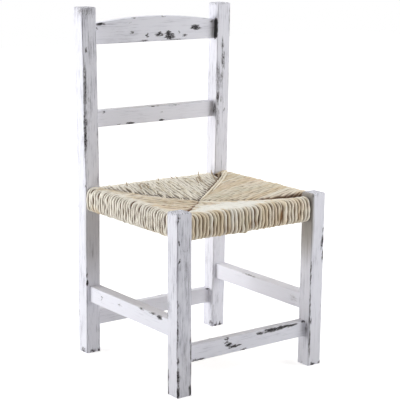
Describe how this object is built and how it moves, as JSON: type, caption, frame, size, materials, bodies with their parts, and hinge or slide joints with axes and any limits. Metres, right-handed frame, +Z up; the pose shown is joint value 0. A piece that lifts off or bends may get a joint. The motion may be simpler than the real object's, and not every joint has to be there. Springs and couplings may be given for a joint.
{
  "type": "ladder-back chair",
  "caption": "Ladder-back side chair with square posts, an arched crest rail, low rungs and a woven rush seat, in worn and chipped white paint.",
  "frame": {"origin": "middle of the footprint, on the floor", "axes": "+Z up, front of the chair facing -Y, +X to the right as seen from the front"},
  "size_m": [0.466, 0.451, 0.9],
  "materials": {
    "white_paint": "white brushed paint over dark stained wood, rubbed through and chipped along the edges, matt",
    "bare_wood": "bare sawn wood, hidden under the rush",
    "rush": "twisted natural rush cord, uneven straw colour with brown and bleached strands"
  },
  "bodies": {
    "root": {"post_front_left": "white_paint", "post_front_right": "white_paint", "post_rear_left": "white_paint", "post_rear_right": "white_paint", "crest_rail": "white_paint", "back_slat": "white_paint", "rung_front": "white_paint", "rung_back": "white_paint", "rung_left": "white_paint", "rung_right": "white_paint", "seat_rail_front": "bare_wood", "seat_rail_back": "bare_wood", "seat_rail_left": "bare_wood", "seat_rail_right": "bare_wood", "rush_seat": "rush"}
  },
  "joints": []
}
